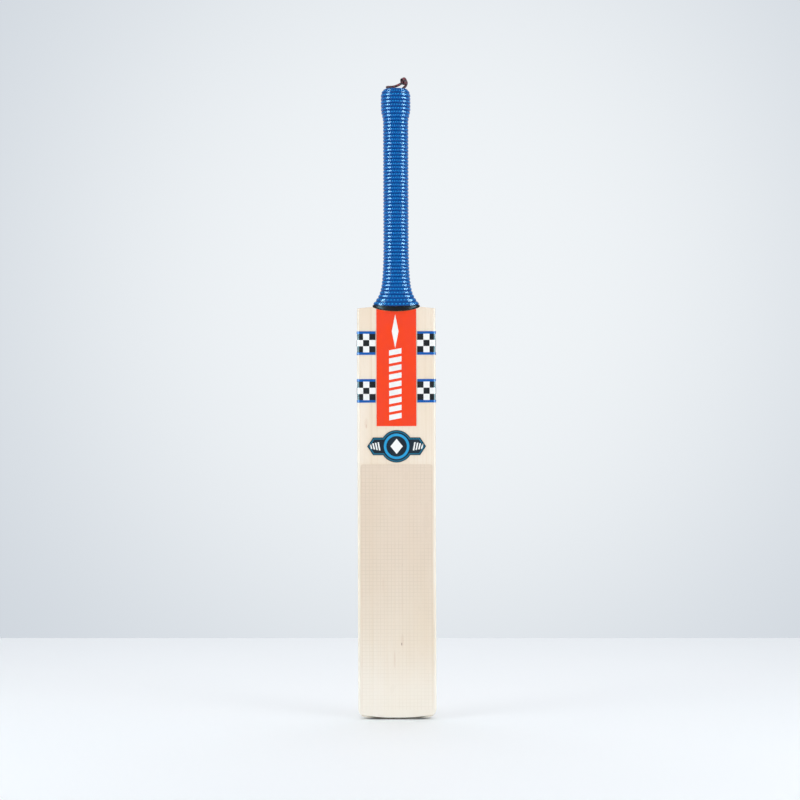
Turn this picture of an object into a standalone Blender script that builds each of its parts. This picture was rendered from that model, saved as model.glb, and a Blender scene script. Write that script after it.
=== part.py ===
"""A cricket bat: a willow blade with a spliced cane handle, its rubber grip, trim and stickers.

Metres, +Z up along the handle. The origin is the middle of the toe's underside, straight below
the handle's axis. The hitting face looks along -Y and the spine is on +Y.
"""

import math

import bmesh
import bpy
from mathutils import Matrix, Vector

MM = 0.001
GAP = 0.3 * MM  # clearance between neighbouring pieces
MERGE = 0.00001
FAR = 60.0 * MM  # past the end of whatever is cut

# Blade
HALF_WIDTH = 53.3 * MM
FACE_Y = -16.0 * MM
EDGE_ROUND = 3.7 * MM  # width of the rounded edge, seen from the front
EDGE_TURNS = (30, 60, 90)  # degrees round it
FRONT_ROUND = 3.5 * MM
BACK_ROUND = 5.0 * MM
SPINE_ROUND = 0.10  # share of the half width that the spine's crest is rounded over
SCOOP = 1.5  # how hollow the back is between the spine and the edges
DEPTHS = (  # height, depth of the edge, depth of the spine
    (0 * MM, 17 * MM, 25 * MM),
    (60 * MM, 25 * MM, 38 * MM),
    (130 * MM, 32 * MM, 53 * MM),
    (210 * MM, 36 * MM, 62 * MM),
    (300 * MM, 35 * MM, 58 * MM),
    (400 * MM, 31 * MM, 47 * MM),
    (480 * MM, 27 * MM, 40 * MM),
    (562 * MM, 24 * MM, 37 * MM),
)
SHOULDER_Z = 561.5 * MM  # top of the shoulder where it meets the grip
SHOULDER_X = 32.0 * MM
SHOULDER_FALL = 1 / 10  # slope of the shoulder, down towards the edge
TOE_BLEND_Z = 40.0 * MM
TOP_BLEND_Z = 530.0 * MM
TOE_ROWS = (0, 0.35, 1)  # from the toe's underside up to where the rows are level
BLADE_ROWS = tuple(z * MM for z in (75, 115, 155, 195, 240, 290, 345, 400, 450, 490))
INNER_COLUMNS = tuple(x * MM for x in (0, 3, 7, 13, 21, 30, 38, 44, 47, 49.6))

# Toe
TOE_FLAT = 6.0 * MM  # half width of the level middle of the toe
TOE_RADIUS = 250.0 * MM
TOE_CORNER = 11.0 * MM
GUARD_THICK = 2.0 * MM
GUARD_HALF = 49.0 * MM
GUARD_COLUMNS = tuple(x * MM for x in (14, 22, 30, 37, 44, 46.5))

# Splice: a V-shaped wedge of the handle in the blade
SPLICE_Z = 430.0 * MM
SPLICE_TIP = 5.6 * MM
SPLICE_WIDE = 25.0 * MM
SPLICE_TOP = 562.0 * MM

# Handle, from the grip's outside inwards
GRIP_R = 17.4 * MM
GRIP_WALL = 2.0 * MM
TWINE_WALL = 1.0 * MM
TWINE_INSET = GRIP_WALL + GAP
CANE_INSET = TWINE_INSET + TWINE_WALL + GAP
GRIP_Z = 565.0 * MM
FLARE_ACROSS = (11.8 * MM, 11.3 * MM, 1.2)  # the foot's flare: how wide, how high and how steep
FLARE_LONG = (3.0 * MM, 42.0 * MM, 2.0)
FLARE_FRONT = (1.8 * MM, 12.0 * MM, 1.0)
FLARE_BACK = (7.8 * MM, 14.0 * MM, 1.0)
BULGE = 2.9 * MM
BULGE_Z = (814 * MM, 833 * MM)
BULGE_RINGS = tuple(z * MM for z in (814, 820, 826, 833))
DOME_Z = 849.4 * MM
DOME_RISE = 10.4 * MM
LIP_R = 13.6 * MM
LIP_TURN = 1.8 * MM
LIP_EDGE = 0.6  # how square the lip's edge is, from 0 to 1
DOME_TURNS = (0, 20, 40, 60, 78, 90)  # degrees round the dome's edge
GRIP_STEPS = (0, 1.5, 4, 7, 11, 16, 23, 33, 46, 66, 110, 175)  # mm above the grip's foot
GRIP_DROOP = 2.8 * MM
GRIP_DROOP_REACH = 12.0 * MM
CANE_TOP = 854.4 * MM
CANE_TOP_INSET = 0.9 * MM
CANE_WIDEST = 23.5 * MM
CANE_FOOT = 553.0 * MM
CANE_RINGS = tuple(z * MM for z in (560, 565, 569, 573, 578, 584, 592, 604, 622, 650, 730))
TWINE_Z = (606 * MM, 847.4 * MM)
TWINE_RINGS = tuple(z * MM for z in (622, 650))
BAND_Z = (561.8 * MM, 564.7 * MM)
BAND_DROOP = (6.2 * MM, 2.8 * MM)
BAND_THICK = 1.5 * MM
BAND_WIDER = 0.3 * MM  # how far the band's lower edge stands out past its upper one
SEAT_HALF = 33.0 * MM
SEAT_STEPS = 12
HANG_POWER = 0.75  # shape of the hanging edge of the foot, the seat and the panel

# Cane strips and rubber springs across the handle
SPRING_Y = {"front": -7.0 * MM, "middle": 0.0, "back": 7.0 * MM}
SPRING_THICK = 1.4 * MM
STRIP_X = 4.5 * MM

# Stickers
FILM = 0.4 * MM
PANEL_HALF = 27.0 * MM
PANEL_COLUMNS = 12
PANEL_Z = 399.0 * MM
CHECK_INNER = 28.4 * MM
CHECK_Z = {"upper": (496 * MM, 528 * MM), "lower": (431 * MM, 463 * MM)}
BADGE_Z = 371.5 * MM
BADGE_HALF = 40.0 * MM
BADGE_SHOULDER = 32.0 * MM
BADGE_WING = 12.0 * MM
BADGE_DISC = 22.0 * MM
BADGE_STEPS = 12
BACK_PANEL_HALF = 21.0 * MM
BACK_PANEL_ROWS = tuple(z * MM for z in (262, 290, 318, 345, 372, 400, 418))
BACK_PANEL_LIFT = 0.36 * MM  # clearance over the curved back
SHEET_HALF = 48.6 * MM
SHEET_Z = (13 * MM, 347 * MM)
SHEET_THICK = 0.3 * MM

# Cord through the grip's top
CORD_D = 3.6 * MM
CORD_STEPS = 22
CORD_ROUTE = tuple(
    Vector(p) * MM
    for p in (
        (-5.4, 5.6, 856.2),
        (-7.4, 5.6, 859.9),
        (-10.2, 4.4, 862.3),
        (-11.6, 1.4, 862.8),
        (-10.0, -1.8, 862.6),
        (-6.4, -3.6, 862.3),
        (-2.2, -4.2, 862.7),
        (1.8, -3.8, 864.0),
        (5.4, -2.8, 865.9),
        (8.8, -1.6, 868.2),
        (11.6, -0.4, 870.8),
        (14.2, 1.4, 871.2),
        (15.0, 3.4, 868.4),
        (13.6, 4.4, 865.0),
        (11.2, 4.0, 862.4),
        (8.6, 3.4, 859.7),
        (7.8, 3.0, 856.2),
    )
)
KNOT_AT = 10.0  # the knot's place among the route's points
KNOT_R = 3.7 * MM
KNOT_THICK = 1.4 * MM
KNOT_SIDES = (12, 8)

SEGMENTS = 28


# Scene and materials


def empty_scene():
    for o in list(bpy.data.objects):
        bpy.data.objects.remove(o)


def new_collection(name):
    group = bpy.data.collections.new(name)
    bpy.context.scene.collection.children.link(group)
    return group


def material(name, colour, roughness, metallic=0.0):
    m = bpy.data.materials.new(name)
    m.use_nodes = True
    shader = m.node_tree.nodes["Principled BSDF"]
    shader.inputs["Base Color"].default_value = (*colour, 1)
    shader.inputs["Roughness"].default_value = roughness
    shader.inputs["Metallic"].default_value = metallic
    return m


def place(name, mesh, group, look=None):
    o = bpy.data.objects.new(name, mesh)
    group.objects.link(o)
    if look:
        mesh.materials.append(look)
    return o


def as_cutter(o):
    o.hide_render = True
    o.display_type = "WIRE"
    return o


def mesh_from(name, bm, outward=True):
    if outward:
        bmesh.ops.recalc_face_normals(bm, faces=bm.faces)
    mesh = bpy.data.meshes.new(name)
    bm.to_mesh(mesh)
    bm.free()
    return mesh


# Modifiers


def mirror(o):
    m = o.modifiers.new("mirror", "MIRROR")
    m.use_axis = (True, False, False)
    m.merge_threshold = MERGE


def solidify(o, thickness, side):
    m = o.modifiers.new("solidify", "SOLIDIFY")
    m.thickness = thickness
    m.offset = side


def boolean(o, operation, other):
    m = o.modifiers.new(operation.lower(), "BOOLEAN")
    m.operation = operation
    m.solver = "EXACT"
    m.object = other


# Meshes


def skin(bm, rows, closed=False, around=False):
    """Faces between rows of points; closed joins each row's ends, around joins the end rows."""
    made = [[bm.verts.new(p) for p in row] for row in rows]
    following = [*made[1:], made[0]] if around else made[1:]
    for low, high in zip(made, following):
        last = len(low) if closed else len(low) - 1
        for i in range(last):
            j = (i + 1) % len(low)
            bm.faces.new((low[i], low[j], high[j], high[i]))
    return made


def cap(bm, ring):
    bm.faces.new(ring)


def prism(name, outline, y0, y1):
    """An outline in X and Z, extruded along Y."""
    bm = bmesh.new()
    face = bm.faces.new([bm.verts.new((x, y0, z)) for x, z in outline])
    moved = bmesh.ops.extrude_face_region(bm, geom=[face])["geom"]
    points = [v for v in moved if isinstance(v, bmesh.types.BMVert)]
    bmesh.ops.translate(bm, verts=points, vec=(0, y1 - y0, 0))
    return mesh_from(name, bm)


def box(name, low, high):
    bm = bmesh.new()
    middle = [(a + b) / 2 for a, b in zip(low, high)]
    size = [b - a for a, b in zip(low, high)]
    at = Matrix.Translation(middle) @ Matrix.Diagonal((*size, 1))
    bmesh.ops.create_cube(bm, size=1, matrix=at)
    return mesh_from(name, bm)


# Curves


def smooth_at(points, t):
    """A point on the smooth curve through the points, t from 0 to 1."""
    at = t * (len(points) - 1)
    i = min(int(at), len(points) - 2)
    f = at - i
    a, b = points[max(i - 1, 0)], points[i]
    c, d = points[i + 1], points[min(i + 2, len(points) - 1)]
    return (
        b * 2 + (c - a) * f + (a * 2 - b * 5 + c * 4 - d) * f**2 + (b * 3 - c * 3 + d - a) * f**3
    ) / 2


def eased(t):
    t = min(max(t, 0), 1)
    return t * t * (3 - 2 * t)


# Blade


def depths(z):
    """Depth of the edge and of the spine at a height."""
    stations = DEPTHS
    i = max(k for k in range(len(stations) - 1) if k == 0 or stations[k][0] <= z)
    low, high = stations[i], stations[i + 1]
    before = stations[max(i - 1, 0)]
    after = stations[min(i + 2, len(stations) - 1)]
    span = high[0] - low[0]
    t = (z - low[0]) / span
    found = []
    for k in (1, 2):
        slope_low = (high[k] - before[k]) / (high[0] - before[0]) * span
        slope_high = (after[k] - low[k]) / (after[0] - low[0]) * span
        found.append(
            low[k] * (1 + 2 * t) * (1 - t) ** 2
            + high[k] * t * t * (3 - 2 * t)
            + slope_low * t * (1 - t) ** 2
            - slope_high * t * t * (1 - t)
        )
    return found


def edge_drop(x):
    """How far the rounded edge has turned in at x, from 0 to 1."""
    out = max(0.0, abs(x) - (HALF_WIDTH - EDGE_ROUND)) / EDGE_ROUND
    return 1 - math.sqrt(max(0.0, 1 - out * out))


def front_y(x):
    return FACE_Y + FRONT_ROUND * edge_drop(x)


def back_y(x, z):
    edge, spine = depths(z)
    across = math.hypot(x / HALF_WIDTH, SPINE_ROUND) - SPINE_ROUND
    fall = 1 - across / (math.hypot(1, SPINE_ROUND) - SPINE_ROUND)
    rise = (spine - edge) * max(0.0, fall) ** SCOOP
    return FACE_Y + edge + rise - BACK_ROUND * edge_drop(x)


def columns():
    """Places across the half blade, from the middle out, with the rounded edge's last."""
    rounded = [
        HALF_WIDTH - EDGE_ROUND * (1 - math.sin(math.radians(a))) for a in EDGE_TURNS
    ]
    return [*INNER_COLUMNS, *rounded]


def toe_arc(x):
    """Height of the large arc of the toe's underside."""
    out = max(0.0, abs(x) - TOE_FLAT)
    return TOE_RADIUS - math.sqrt(TOE_RADIUS**2 - out**2)


def toe_z(x):
    """Height of the toe's underside: level, then a large arc, then the corner's arc."""
    centre_x = HALF_WIDTH - TOE_CORNER
    reach = TOE_RADIUS - TOE_CORNER
    centre_z = TOE_RADIUS - math.sqrt(reach**2 - (centre_x - TOE_FLAT) ** 2)
    meet = TOE_FLAT + TOE_RADIUS * (centre_x - TOE_FLAT) / reach
    if abs(x) <= meet:
        return toe_arc(x)
    return centre_z - math.sqrt(max(0.0, TOE_CORNER**2 - (abs(x) - centre_x) ** 2))


def wood_bottom(x):
    return max(toe_z(x), toe_arc(x) + GUARD_THICK + GAP)


def shoulder_z(x):
    return SHOULDER_Z + (SHOULDER_X - x) * SHOULDER_FALL


def section(xs, height):
    """Half a section, front then back; height gives each place's z."""
    front = [(x, front_y(x), height(x)) for x in xs]
    back = [(x, back_y(x, height(x)), height(x)) for x in reversed(xs)]
    return front + back


def half_solid(name, xs, heights):
    """The right half of a solid through sections, open in the middle plane."""
    bm = bmesh.new()
    rows = skin(bm, [section(xs, h) for h in heights])
    for row in (rows[0], rows[-1]):
        n = len(row)
        for i in range(n // 2 - 1):
            bm.faces.new((row[i], row[i + 1], row[n - 2 - i], row[n - 1 - i]))
    return mesh_from(name, bm)


def blade_heights():
    def rising(low, high, t):
        return lambda x: low(x) + t * (high(x) - low(x))

    def level(z):
        return lambda x: z

    toe = [rising(wood_bottom, level(TOE_BLEND_Z), t) for t in TOE_ROWS]
    top = [rising(level(TOP_BLEND_Z), shoulder_z, t) for t in (0, 1)]
    return toe + [level(z) for z in BLADE_ROWS] + top


def half_at(z):
    """Half width of the splice's V at a height."""
    t = (z - SPLICE_Z) / (SPLICE_TOP - SPLICE_Z)
    return SPLICE_TIP + t * (SPLICE_WIDE - SPLICE_TIP)


def splice_outline(room):
    low, high = SPLICE_Z - room, SHOULDER_Z + FAR
    near, far = half_at(low) + room, half_at(high) + room
    return ((-near, low), (near, low), (far, high), (-far, high))


# Handle


def fade(d, size, reach, power):
    return size * math.exp(-((d / reach) ** power))


def swell(z):
    """The grip's radii: across, to the front and to the back."""
    d = max(0.0, z - GRIP_Z)
    wide = GRIP_R + BULGE * eased((z - BULGE_Z[0]) / (BULGE_Z[1] - BULGE_Z[0]))
    across = fade(d, *FLARE_ACROSS) + fade(d, *FLARE_LONG)
    return [wide + flare for flare in (across, fade(d, *FLARE_FRONT), fade(d, *FLARE_BACK))]


def oval(radii, z, droop=0.0):
    """A ring round the handle's axis, which may hang lower at the front and the back."""
    across, front, back = radii
    ring = []
    for i in range(SEGMENTS):
        a = 2 * math.pi * i / SEGMENTS
        deep = back if math.sin(a) > 0 else front
        low = droop * abs(math.sin(a)) ** (2 * HANG_POWER)
        ring.append((across * math.cos(a), deep * math.sin(a), z - low))
    return ring


def inset(radii, by, widest=FAR):
    return [min(r - by, widest) for r in radii]


def grip_rings(inward):
    """Rings up the grip and in over its domed top, on a surface that far inside the outer one."""
    rings = []
    for z in [*(GRIP_Z + step * MM for step in GRIP_STEPS), *BULGE_RINGS]:
        droop = fade(z - GRIP_Z, GRIP_DROOP, GRIP_DROOP_REACH, 1)
        rings.append(oval(inset(swell(z), inward), z, droop))
    wide, rise = GRIP_R + BULGE - inward, DOME_RISE - inward
    for a in DOME_TURNS:
        r = LIP_R + (wide - LIP_R) * math.cos(math.radians(a))
        rings.append(oval((r, r, r), DOME_Z + rise * math.sin(math.radians(a))))
    lip = LIP_R - LIP_TURN
    middle = DOME_RISE - GRIP_WALL / 2
    rings.append(oval((lip, lip, lip), DOME_Z + middle + (rise - middle) * LIP_EDGE))
    return rings


def band_rings(inward):
    rings = []
    for i, wider in enumerate((BAND_WIDER, 0.0)):
        radii = [r + wider - inward for r in swell(GRIP_Z)]
        rings.append(oval(radii, BAND_Z[i], BAND_DROOP[i]))
    return rings


def shaft_rings():
    heights = (CANE_FOOT, *CANE_RINGS, *BULGE_RINGS, DOME_Z)
    rings = [oval(inset(swell(z), CANE_INSET, CANE_WIDEST), z) for z in heights]
    rings.append(oval(inset(swell(CANE_TOP), CANE_INSET + CANE_TOP_INSET), CANE_TOP))
    return rings


def sleeve(name, outer, inner, group, look):
    """A sleeve between an outer and an inner set of rings."""
    bm = bmesh.new()
    skin(bm, [*outer, *reversed(inner)], closed=True, around=True)
    return place(name, mesh_from(name, bm), group, look)


def foot_hang(x):
    """How far the grip's foot hangs over the face at x, as a share of its middle's."""
    return max(0.0, 1 - (x / SEAT_HALF) ** 2) ** HANG_POWER


def seat_outline():
    """What the grip's foot takes out of the blade's top: a hollow that hangs as the foot does."""
    xs = [SEAT_HALF * math.cos(math.pi * i / SEAT_STEPS) for i in range(SEAT_STEPS + 1)]
    low = [(x, BAND_Z[0] - GAP - BAND_DROOP[0] * foot_hang(x)) for x in xs]
    high = SHOULDER_Z + FAR
    return [(-SEAT_HALF, high), (SEAT_HALF, high), *low]


def shaft():
    bm = bmesh.new()
    rows = skin(bm, shaft_rings(), closed=True)
    cap(bm, rows[0])
    cap(bm, rows[-1])
    return mesh_from("shaft", bm)


def handle_guides(guides):
    """The whole handle, with its splice, before it is divided into strips."""
    blank = as_cutter(place("blank", half_solid("blank", columns(), blade_heights()), guides))
    mirror(blank)
    cut = as_cutter(place("seat", prism("seat", seat_outline(), -FAR, FAR), guides))
    turned = as_cutter(place("shaft", shaft(), guides))
    wedge = prism("wedge", splice_outline(0.0), -FAR, FAR)
    handle = as_cutter(place("handle", wedge, guides))
    boolean(handle, "INTERSECT", blank)
    boolean(handle, "DIFFERENCE", cut)
    boolean(handle, "UNION", turned)
    notch = as_cutter(place("notch", prism("notch", splice_outline(GAP), -FAR, FAR), guides))
    return handle, cut, notch


# Pieces


def make_blade(parts, cut, notch):
    look = material("willow", (0.83, 0.72, 0.56), 0.5)
    blade = place("blade", half_solid("blade", columns(), blade_heights()), parts, look)
    mirror(blade)
    boolean(blade, "DIFFERENCE", notch)
    boolean(blade, "DIFFERENCE", cut)


def make_toe_guard(parts):
    look = material("guard_rubber", (0.16, 0.13, 0.11), 0.6)
    xs = [0, TOE_FLAT, *GUARD_COLUMNS, GUARD_HALF]
    heights = [toe_z, lambda x: toe_arc(x) + GUARD_THICK]
    mirror(place("toe_guard", half_solid("toe_guard", xs, heights), parts, look))


def make_cane(parts, handle):
    """Twelve strips of cane: four layers from front to back, three strips in each."""
    look = material("cane", (0.62, 0.45, 0.24), 0.6)
    half = SPRING_THICK / 2 + GAP
    springs = sorted(SPRING_Y.values())
    bounds = [-FAR, *(edge for y in springs for edge in (y - half, y + half)), FAR]
    sides = {
        "left": (-FAR, -STRIP_X - GAP / 2),
        "middle": (-STRIP_X + GAP / 2, STRIP_X - GAP / 2),
        "right": (STRIP_X + GAP / 2, FAR),
    }
    low, high = SPLICE_Z - FAR, CANE_TOP + FAR
    for layer in range(len(springs) + 1):
        y0, y1 = bounds[2 * layer : 2 * layer + 2]
        for side, (x0, x1) in sides.items():
            name = f"cane_strip_{layer + 1}_{side}"
            strip = place(name, box(name, (x0, y0, low), (x1, y1, high)), parts, look)
            boolean(strip, "INTERSECT", handle)


def make_springs(parts, handle):
    look = material("spring_rubber", (0.05, 0.05, 0.05), 0.7)
    low, high = SPLICE_Z - FAR, CANE_TOP + FAR
    for where, y in SPRING_Y.items():
        name = f"rubber_spring_{where}"
        ends = (-FAR, y - SPRING_THICK / 2, low), (FAR, y + SPRING_THICK / 2, high)
        boolean(place(name, box(name, *ends), parts, look), "INTERSECT", handle)


def twine_rings(inward):
    heights = (TWINE_Z[0], *TWINE_RINGS, *BULGE_RINGS, TWINE_Z[1])
    return [oval(inset(swell(z), inward), z) for z in heights]


def make_twine(parts):
    look = material("twine", (0.72, 0.66, 0.5), 0.8)
    outer, inner = twine_rings(TWINE_INSET), twine_rings(TWINE_INSET + TWINE_WALL)
    sleeve("twine_binding", outer, inner, parts, look)


def make_grip(parts):
    blue = material("grip_rubber", (0.01, 0.16, 0.5), 0.45)
    sleeve("grip", grip_rings(0.0), grip_rings(GRIP_WALL), parts, blue)
    black = material("band_rubber", (0.02, 0.02, 0.022), 0.4)
    sleeve("grip_band", band_rings(0.0), band_rings(BAND_THICK), parts, black)


def on_front(x, z):
    return (x, FACE_Y - GAP, z)


def film(name, rows, parts, look):
    """A sticker: a thin skin laid over the wood, built outwards."""
    bm = bmesh.new()
    skin(bm, rows)
    solidify(place(name, mesh_from(name, bm, outward=False), parts, look), FILM, 1)


def make_front_panel(parts):
    look = material("red_vinyl", (0.95, 0.08, 0.03), 0.35)
    xs = [PANEL_HALF * (2 * i / PANEL_COLUMNS - 1) for i in range(PANEL_COLUMNS + 1)]
    low = [on_front(x, PANEL_Z) for x in xs]
    high = [on_front(x, BAND_Z[0] - BAND_DROOP[0] * foot_hang(x) - 2 * GAP) for x in xs]
    film("front_panel", [low, high], parts, look)


def edge_path(z):
    """Round the right edge, from the front to the back, a gap clear of the wood."""
    xs = [x for x in columns() if x > CHECK_INNER]
    path = [(CHECK_INNER, FACE_Y - GAP, z)]
    for x in xs:
        path.append((x + GAP * edge_drop(x), front_y(x) - GAP * (1 - edge_drop(x)), z))
    for x in reversed(xs):
        path.append((x + GAP * edge_drop(x), back_y(x, z) + GAP * (1 - edge_drop(x)), z))
    return path


def make_checks(parts):
    look = material("check_vinyl", (0.3, 0.34, 0.4), 0.35)
    for level, heights in CHECK_Z.items():
        right = [edge_path(z) for z in heights]
        left = [[(-x, y, z) for x, y, z in row] for row in reversed(right)]
        film(f"edge_check_{level}_right", right, parts, look)
        film(f"edge_check_{level}_left", left, parts, look)


def make_badge(parts):
    look = material("badge_vinyl", (0.02, 0.05, 0.09), 0.35)
    start = math.asin(BADGE_WING / BADGE_DISC)
    turn = [start + (math.pi - 2 * start) * i / BADGE_STEPS for i in range(BADGE_STEPS + 1)]
    arc = [(BADGE_DISC * math.cos(a), BADGE_DISC * math.sin(a)) for a in turn]
    upper = [(BADGE_HALF, 0), (BADGE_SHOULDER, BADGE_WING), *arc, (-BADGE_SHOULDER, BADGE_WING)]
    lower = [(-x, -z) for x, z in upper]
    outline = [(x, z + BADGE_Z) for x, z in upper + lower]
    place("badge", prism("badge", outline, FACE_Y - GAP - FILM, FACE_Y - GAP), parts, look)


def make_back_panel(parts):
    look = material("red_vinyl_back", (0.95, 0.08, 0.03), 0.35)
    half = [x for x in INNER_COLUMNS if x <= BACK_PANEL_HALF]
    xs = [*half[::-1], *(-x for x in half[1:])]
    rows = [[(x, back_y(x, z) + BACK_PANEL_LIFT, z) for x in xs] for z in BACK_PANEL_ROWS]
    film("back_panel", rows, parts, look)


def make_face_sheet(parts):
    look = material("face_sheet", (0.8, 0.7, 0.55), 0.35)
    low = (-SHEET_HALF, FACE_Y - GAP - SHEET_THICK, SHEET_Z[0])
    high = (SHEET_HALF, FACE_Y - GAP, SHEET_Z[1])
    place("face_sheet", box("face_sheet", low, high), parts, look)


def make_cord(parts):
    look = material("cord", (0.12, 0.01, 0.02), 0.7)
    curve = bpy.data.curves.new("cord", "CURVE")
    curve.dimensions = "3D"
    curve.bevel_depth = CORD_D / 2
    curve.bevel_resolution = 2
    curve.use_fill_caps = True
    spline = curve.splines.new("POLY")
    spline.points.add(CORD_STEPS)
    route = list(CORD_ROUTE)
    for i, point in enumerate(spline.points):
        point.co = (*smooth_at(route, i / CORD_STEPS), 1)
    curve.materials.append(look)
    parts.objects.link(bpy.data.objects.new("hang_cord", curve))


def make_knot(parts):
    """The knot, a ring round the cord where its two strands are tied."""
    look = material("knot", (0.1, 0.01, 0.02), 0.7)
    route = list(CORD_ROUTE)
    at = KNOT_AT / (len(route) - 1)
    here = smooth_at(route, at)
    ahead = smooth_at(route, at + 0.01) - here
    bpy.ops.mesh.primitive_torus_add(
        major_radius=KNOT_R,
        minor_radius=KNOT_THICK,
        major_segments=KNOT_SIDES[0],
        minor_segments=KNOT_SIDES[1],
        location=here,
        rotation=ahead.to_track_quat("Z", "Y").to_euler(),
    )
    knot = bpy.context.object
    knot.name = knot.data.name = "cord_knot"
    knot.data.materials.append(look)
    for group in list(knot.users_collection):
        group.objects.unlink(knot)
    parts.objects.link(knot)


def main():
    empty_scene()
    parts = new_collection("cricket_bat")
    guides = new_collection("guides")
    handle, cut, notch = handle_guides(guides)
    make_blade(parts, cut, notch)
    make_toe_guard(parts)
    make_cane(parts, handle)
    make_springs(parts, handle)
    make_twine(parts)
    make_grip(parts)
    make_face_sheet(parts)
    make_front_panel(parts)
    make_checks(parts)
    make_badge(parts)
    make_back_panel(parts)
    make_cord(parts)
    make_knot(parts)


main()
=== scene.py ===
"""The looks of a cricket bat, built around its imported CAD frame.

Metres, in the frame of the CAD: +Z up the handle, the hitting face towards -Y, and the middle
of the toe's underside at the origin.
"""

import math

import bmesh
import bpy
import numpy as np
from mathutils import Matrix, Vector


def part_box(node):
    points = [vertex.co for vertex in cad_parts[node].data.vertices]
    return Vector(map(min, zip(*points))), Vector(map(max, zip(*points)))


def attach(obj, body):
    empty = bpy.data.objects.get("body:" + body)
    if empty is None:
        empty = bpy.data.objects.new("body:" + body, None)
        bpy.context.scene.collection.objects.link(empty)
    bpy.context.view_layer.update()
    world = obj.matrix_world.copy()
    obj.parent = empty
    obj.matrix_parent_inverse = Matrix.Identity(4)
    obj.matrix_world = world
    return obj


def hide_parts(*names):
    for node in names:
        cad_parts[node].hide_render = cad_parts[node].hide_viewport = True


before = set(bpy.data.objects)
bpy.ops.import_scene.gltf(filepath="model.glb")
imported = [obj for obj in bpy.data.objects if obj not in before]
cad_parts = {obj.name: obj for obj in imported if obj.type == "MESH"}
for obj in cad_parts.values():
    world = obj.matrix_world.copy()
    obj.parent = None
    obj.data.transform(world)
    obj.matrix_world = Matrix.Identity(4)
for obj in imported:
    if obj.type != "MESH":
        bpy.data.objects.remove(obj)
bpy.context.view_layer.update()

MM = 0.001
GAP = 0.3 * MM
BODY = "root"

# Camera
CAMERA_AT = (4.8 * MM, -2.616, 434.5 * MM)
LENS = 86.0
SENSOR = 36.0
LEAN = math.radians(0.17)  # the camera's roll, so the bat leans a little in its view

# Table and backdrop
TABLE_BACK = 0.873
TABLE_HALF = 0.95
TABLE_THICK = 0.03
FLOOR_RISE = -math.sin(math.radians(8))  # rays that fall more than this see the floor's colour
GLOW_AT = (30, 1911, 120)  # where the backdrop is brightest, as a direction
GLOW_REACH = 0.225  # in radians, about
GLOW_POWER = 3.0
WARM = (1.0, 0.98, 0.955)  # lights that fall on the surfaces
COOL = (0.5, 0.88, 1.0)  # lights that show in the gloss
LIGHTS_AIM = (0, 0, 0.45)
SOFTBOX = (0.8, 1.5)
STRIP = (0.8, 1.8)
OVERHEAD = (2.2, 2.2)

# Blade
HALF_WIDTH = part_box("blade")[1].x
FACE_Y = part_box("blade")[0].y
EDGE_ROUND = 3.7 * MM
FRONT_ROUND = 3.5 * MM
BACK_ROUND = 5.0 * MM
SPINE_ROUND = 0.10
SCOOP = 1.5
DEPTHS = (  # height, depth of the edge, depth of the spine
    (0 * MM, 17 * MM, 25 * MM),
    (60 * MM, 25 * MM, 38 * MM),
    (130 * MM, 32 * MM, 53 * MM),
    (210 * MM, 36 * MM, 62 * MM),
    (300 * MM, 35 * MM, 58 * MM),
    (400 * MM, 31 * MM, 47 * MM),
    (480 * MM, 27 * MM, 40 * MM),
    (562 * MM, 24 * MM, 37 * MM),
)
SHOULDER_Z = 561.5 * MM
SHOULDER_X = 32.0 * MM
SHOULDER_FALL = 1 / 10
TOE_BLEND_Z = 40.0 * MM
TOP_BLEND_Z = 530.0 * MM
TOE_BLEND_ROWS = 7
TOP_BLEND_ROWS = 6
ARRIS = 0.9 * MM  # rounding of the wood's end edges
SHARP = 35  # degrees: steeper edges of the wood stay sharp
MERGE = 0.01 * MM
COLUMN_STEP = 2.2 * MM
ROW_STEP = 5.0 * MM

# Toe
TOE_FLAT = 6.0 * MM
TOE_RADIUS = 250.0 * MM
TOE_CORNER = 11.0 * MM
GUARD_THICK = 2.0 * MM
GUARD_HALF = 49.0 * MM
GUARD_COLUMNS = 26
GUARD_ARRIS = 0.6 * MM
GUARD_TOP_ARRIS = 0.15 * MM
# The pale ends are painted light that hides the shade under the toe's lifted ends.
GUARD_PAINTED_LIGHT = (30 * MM, 44 * MM)  # where its dark strip turns pale, out from the middle

# Splice
SPLICE_Z = 430.0 * MM
SPLICE_TIP = 5.6 * MM
SPLICE_WIDE = 25.0 * MM
SPLICE_TOP = 562.0 * MM

# Grip
GRIP_R = 17.4 * MM
GRIP_WALL = 2.0 * MM
GRIP_Z = 565.0 * MM
FLARE_ACROSS = (11.8 * MM, 11.3 * MM, 1.2)  # the foot's flare: how wide, how high and how steep
FLARE_LONG = (3.0 * MM, 42.0 * MM, 2.0)
FLARE_FRONT = (1.8 * MM, 12.0 * MM, 1.0)
FLARE_BACK = (7.8 * MM, 14.0 * MM, 1.0)
BULGE = 2.9 * MM
BULGE_Z = (814 * MM, 833 * MM)
DOME_Z = 849.4 * MM
DOME_RISE = 10.4 * MM
LIP_R = 13.6 * MM
LIP_TURN = 1.8 * MM
GRIP_DROOP = 2.8 * MM
GRIP_DROOP_REACH = 12.0 * MM
HANG_POWER = 0.75  # shape of the hanging edge of the foot, the seat and the panel
RELIEF = "relief"  # a mesh attribute: how high the rubber stands, from 0 to 1
RELIEF_INSIDE = 0.5
NUBS = 36  # round the grip
NUB_COLUMNS = 5  # mesh columns to a nub
RING_PITCH = 4.72 * MM
RING_ROWS = 8
RIB_HIGH = 1.0 * MM
NUB_HIGH = 0.06 * MM
NUB_TOP = 0.4  # how much of a ring's pitch is level across the nubs' tops
NUB_HALF = 0.12  # half a nub's level width, as a share of the nubs' pitch
NUB_SIDE = 0.28  # width of its sloping side
PLAIN_FOOT = 2  # mesh rows without nubs at the grip's foot
PLAIN_TOP = 3
INSIDE_RINGS = 2  # rings of nubs to each mesh row of the sleeve's inside
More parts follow.
